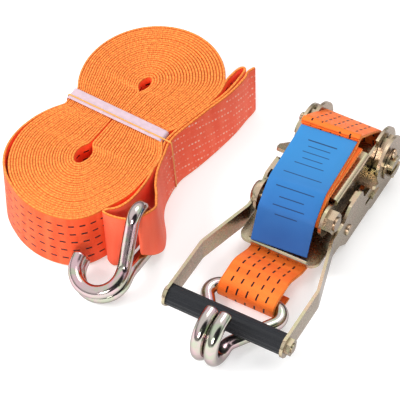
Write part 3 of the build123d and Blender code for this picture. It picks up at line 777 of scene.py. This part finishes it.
# ---------------------------------------------------------------- tail and hook loop
# x, y and z of the strap's middle, how it leans in x and y per millimetre of height, its width:
# from the coil round the tail's inner fold, along the coil under the bands, round the left
# tongue, through the hook's eye, round the right tongue and back along the coil to the free end
stations = np.array([
    (-108.9, 2.0, 1.4, 0.0, 0.0, 50.0), (-108.2, 8.0, 1.4, 0.0, 0.0, 50.0),
    (-106.9, 12.8, 1.4, 0.0, 0.0, 50.0), (-104.9, 15.4, 1.4, 0.0, 0.0, 50.0),
    (-102.9, 15.0, 1.4, 0.0, 0.0, 50.0), (-101.8, 11.6, 1.4, 0.0, 0.0, 50.0),
    (-101.6, 3.0, 1.4, 0.0, 0.0, 50.0), (-102.1, -9.0, 1.4, 0.0, 0.0, 50.0),
    (-104.0, -22.5, 1.4, -0.01, 0.0, 50.0), (-107.9, -37.5, 1.4, -0.03, 0.0, 50.0),
    (-111.8, -54.0, 1.4, -0.05, 0.0, 50.0), (-114.9, -67.0, 1.4, -0.05, 0.0, 50.0),
    (-116.9, -78.0, 1.3, -0.06, 0.0, 50.0), (-117.2, -88.0, 1.3, -0.07, 0.0, 50.0),
    (-114.6, -99.0, 1.4, -0.06, -0.02, 50.0), (-111.6, -115.0, 2.5, -0.05, -0.04, 49.0),
    (-109.6, -130.0, 4.0, -0.03, -0.08, 48.0), (-109.4, -146.0, 6.5, -0.02, -0.14, 46.0),
    (-111.0, -156.0, 5.5, -0.03, -0.12, 47.0), (-115.0, -165.4, 3.0, -0.05, -0.04, 49.0),
    (-120.4, -171.6, 1.6, -0.08, 0.02, 50.0), (-121.9, -175.3, 1.4, -0.10, 0.05, 50.0),
    (-118.4, -178.1, 1.4, -0.09, 0.12, 50.0), (-111.8, -178.6, 1.6, -0.06, 0.16, 50.0),
    (-106.0, -176.2, 3.6, -0.04, 0.06, 49.0), (-101.4, -171.2, 8.0, -0.02, -0.18, 45.0),
    (-96.4, -166.6, 11.8, -0.02, -0.42, 38.0), (-91.6, -173.9, 14.4, -0.08, 0.05, 38.0),
    (-89.2, -172.6, 15.4, -0.08, 0.05, 43.5), (-86.5, -167.0, 13.4, -0.06, 0.02, 49.5),
    (-85.0, -161.1, 11.0, -0.08, 0.02, 51.0), (-85.7, -154.4, 7.8, -0.11, 0.0, 51.0),
    (-89.4, -146.8, 4.9, -0.13, -0.02, 50.5), (-94.2, -138.2, 3.0, -0.10, -0.08, 49.5),
    (-100.9, -128.6, 2.2, -0.08, -0.09, 49.0), (-106.0, -119.0, 1.6, -0.08, -0.03, 50.0),
    (-109.3, -109.5, 1.4, -0.07, -0.01, 50.0), (-111.4, -99.0, 1.4, -0.08, 0.0, 50.0),
    (-113.2, -88.5, 1.3, -0.11, 0.0, 50.0), (-112.8, -78.0, 1.3, -0.12, 0.0, 50.0),
    (-110.2, -67.0, 1.4, -0.14, 0.0, 50.0), (-107.0, -54.0, 1.4, -0.14, 0.0, 50.0),
    (-103.3, -37.5, 1.4, -0.12, 0.0, 50.0), (-99.9, -22.5, 1.4, -0.08, 0.0, 50.0),
    (-97.8, -9.0, 1.4, -0.06, 0.0, 50.0), (-96.9, 5.8, 1.5, -0.045, 0.0, 50.0),
    (-96.9, 13.0, 1.6, -0.08, 0.0, 50.0), (-95.6, 19.4, 1.6, -0.03, 0.0, 50.5)])


def flowing(values, step):
    """Rows of values joined by a smooth curve, at even steps along its first three columns."""
    padded = np.vstack([2 * values[0] - values[1], values, 2 * values[-1] - values[-2]])
    rows = []
    for i in range(1, len(padded) - 2):
        p0, p1, p2, p3 = padded[i - 1:i + 3]
        for t in np.linspace(0, 1, 12, endpoint=False):
            rows.append(0.5 * (2 * p1 + (p2 - p0) * t + (2 * p0 - 5 * p1 + 4 * p2 - p3) * t * t
                               + (3 * p1 - p0 - 3 * p2 + p3) * t ** 3))
    rows = np.array(rows + [values[-1]])
    lengths = run_lengths(rows[:, :3])
    at = np.linspace(0, lengths[-1], int(lengths[-1] / step) + 1)
    return np.stack([np.interp(at, lengths, rows[:, k]) for k in range(rows.shape[1])], axis=1)


sewn = flowing(stations, 1.0)
sewn_side = np.column_stack([sewn[:, 3:5], np.ones(len(sewn))])
loop = webbing("sewn_hook_strap", sewn[:, :3], sewn_side, width=sewn[:, 5], columns=7,
               start=coil_length)

coil.data.materials.append(strap_orange)
for piece in (upper, lower, hem):
    piece.data.materials.append(short_orange)
loop.data.materials.append(stitched_orange)
label.data.materials.append(label_blue)

# ---------------------------------------------------------------- bands
band_skew = -0.058              # the bands lie a little askew across the waist
top_z, bottom_z = floor_z + strap_width + 1.35, floor_z + 0.8


def ring_band(name, corners, radii, near, far, thick):
    """Closed flat band round corners given as (x, z), between two lines across the waist."""
    middle = [((corners[-1][0] + corners[0][0]) / 2, (corners[-1][1] + corners[0][1]) / 2)]
    path = rounded_path(middle + corners + middle, radii, 1.5)[:-1]
    y = band_y + (near + far) / 2 + (path[:, 0] - waist_middle) * band_skew
    line = np.column_stack([path[:, 0], y, path[:, 1]])
    return webbing(name, line, (0.0, 1.0, 0.0), width=far - near, thick=thick, columns=9,
                   closed=True)


film_corners = [(waist_left - 0.5, bottom_z), (waist_left - 0.5, top_z),
                (waist_right + 0.7, top_z), (waist_right + 0.7, bottom_z)]
film_band = ring_band("film_band", film_corners, [2, 2, 2, 2], -6.2, 6.2, 0.5)
# the rubber band slants out over the tail
rubber_corners = [(waist_left - 1.2, bottom_z - 0.3), (waist_left - 1.2, top_z + 0.7),
                  (-113.0, top_z + 0.5), (-108.6, bottom_z + 0.2)]
rubber_ring = ring_band("rubber_ring", rubber_corners, [2, 2, 1.5, 1.5], -3.5, -2.2, 0.7)
film_band.data.materials.append(film)
rubber_ring.data.materials.append(rubber)

# ---------------------------------------------------------------- pawl springs
spring_round, spring_wire = 3.6, 0.6    # mean radius of the windings, radius of the wire
winding_steps, wire_sides = 20, 8


def wire_spring(name, solid, tilt, windings):
    """Wire wound on a helix where a solid spring lies.

    Returns it with its axis, its far end in metres and its length in millimetres.
    """
    middle = np.array([(low(solid, axis) + high(solid, axis)) / 2 for axis in "xyz"])
    along = np.array([0.0, -math.cos(tilt), math.sin(tilt)])
    upward = np.array([0.0, math.sin(tilt), math.cos(tilt)])
    across = np.array([1.0, 0.0, 0.0])
    span = high(solid, "y") - low(solid, "y") - 2 * (spring_round + spring_wire) * math.sin(tilt)
    length = span / math.cos(tilt) - 2 * spring_wire
    steps = windings * winding_steps
    verts, faces = [], []
    for i in range(steps + 1):
        angle = math.tau * i / winding_steps
        outward = across * math.cos(angle) + upward * math.sin(angle)
        centre = middle + along * length * (i / steps - 0.5) + outward * spring_round
        ring, last_ring = i * wire_sides, (i - 1) * wire_sides
        for k in range(wire_sides):
            turned = math.tau * k / wire_sides
            from_centre = outward * math.cos(turned) + along * math.sin(turned)
            verts.append(tuple((centre + spring_wire * from_centre) * MM))
            if i:
                after = (k + 1) % wire_sides
                faces.append((last_ring + k, last_ring + after, ring + after, ring + k))
    faces.append(tuple(range(wire_sides)))
    faces.append(tuple(steps * wire_sides + k for k in reversed(range(wire_sides))))
    mesh = bpy.data.meshes.new(name)
    mesh.from_pydata(verts, [], faces)
    mesh.polygons.foreach_set("use_smooth", [True] * len(faces))
    mesh.materials.append(zinc)
    far_end = (middle + along * length / 2) * MM
    return in_scene(name, mesh), tuple(along), tuple(far_end), length


for name, solid, tilt, windings, joint, body in (
        ("drive_spring", "drive_pawl_spring", 0.0, 8, "drive_pawl_pull", "handle"),
        ("lock_spring", "lock_pawl_spring", math.radians(18), 6, "lock_pawl_slide", "base")):
    spring, along, far_end, length = wire_spring(name, solid, tilt, windings)
    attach(spring, body)
    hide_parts(solid)
    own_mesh(spring)

# ---------------------------------------------------------------- bodies
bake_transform(upper)
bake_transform(lower)
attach(label, "base")
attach(hem, "base")
for piece in (coil, film_band, rubber_ring):
    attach(piece, "coil")
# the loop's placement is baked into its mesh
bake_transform(loop)
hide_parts("short_strap")
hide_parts("strap_label")
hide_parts("coiled_strap")
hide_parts("sewn_tail", "hook_loop")
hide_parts("plastic_band")
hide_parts("rubber_band")

# ---------------------------------------------------------------- camera
scene = bpy.context.scene
azimuth, elevation, distance = math.radians(29.35), math.radians(48.8), 1.641
aim = Vector((-0.0731, -0.1129, 0.006))
view = bpy.data.cameras.new("camera")
view.lens, view.sensor_width = 187.6, 36.0
view.clip_start, view.clip_end = 0.05, 50.0
camera = in_scene("camera", view)
camera.location = aim + distance * Vector((
    math.cos(elevation) * math.sin(azimuth), -math.cos(elevation) * math.cos(azimuth),
    math.sin(elevation)))
camera.rotation_euler = (aim - camera.location).to_track_quat("-Z", "Y").to_euler()
scene.camera = camera
scene.view_settings.view_transform = "Standard"

# ---------------------------------------------------------------- floor
half_floor = 6.0
floor_mesh = bpy.data.meshes.new("floor")
floor_mesh.from_pydata([(x * half_floor, y * half_floor, floor_z * MM)
                        for x, y in ((-1, -1), (1, -1), (1, 1), (-1, 1))], [], [(0, 1, 2, 3)])
floor = in_scene("floor", floor_mesh)
floor_white, tree, shader = new_material("white table")
feed_all(tree, shader, {
    "Base Color": (0.70, 0.70, 0.70, 1), "Roughness": 0.9, "Specular IOR Level": 0.0,
    "Emission Color": (1, 1, 1, 1), "Emission Strength": 0.40})
floor.data.materials.append(floor_white)

# ---------------------------------------------------------------- light
# The metal mirrors a room that is grey low down and white above, with one dark flag.  The
# camera sees plain white.
world = bpy.data.worlds.new("studio")
scene.world = world
world.use_nodes = True
tree = world.node_tree
tree.nodes.clear()
direction = node(tree, "ShaderNodeTexCoord").outputs["Generated"]
rise = node(tree, "ShaderNodeSeparateXYZ", {0: direction}).outputs[2]
room = mix_colour(tree, ramp(tree, rise, 0.12, 0.62), (0.30, 0.30, 0.31, 1), (1.0, 1.0, 1.0, 1))
toward_flag = node(tree, "ShaderNodeVectorMath", {0: direction, 1: (0.62, -0.60, 0.50)},
                   operation="DOT_PRODUCT").outputs["Value"]
room = mix_colour(tree, ramp(tree, toward_flag, 0.72, 0.86), room, (0.03, 0.03, 0.035, 1))
seen = node(tree, "ShaderNodeLightPath").outputs["Is Camera Ray"]
shown = mix_colour(tree, seen, room, (1, 1, 1, 1))
background = node(tree, "ShaderNodeBackground", {"Color": shown, "Strength": 1.0})
node(tree, "ShaderNodeOutputWorld", {0: background.outputs[0]})
object_middle = Vector((-0.08, -0.1, 0))


def softbox(name, place, width, height, watts):
    """Soft rectangular studio lamp that points at the middle of the object."""
    lamp = bpy.data.lights.new(name, "AREA")
    lamp.shape = "RECTANGLE"
    lamp.size, lamp.size_y = width, height
    lamp.energy = watts
    light = in_scene(name, lamp)
    light.location = place
    light.rotation_euler = (object_middle - Vector(place)).to_track_quat("-Z", "Y").to_euler()
    return light


key = softbox("key softbox", (-1.1, -0.9, 1.1), 0.9, 0.7, 22)
key.visible_glossy = False
softbox("front softbox", (0.35, -1.5, 0.6), 0.5, 0.4, 9)
softbox("top softbox", (0.1, 0.5, 1.8), 1.0, 1.0, 8)
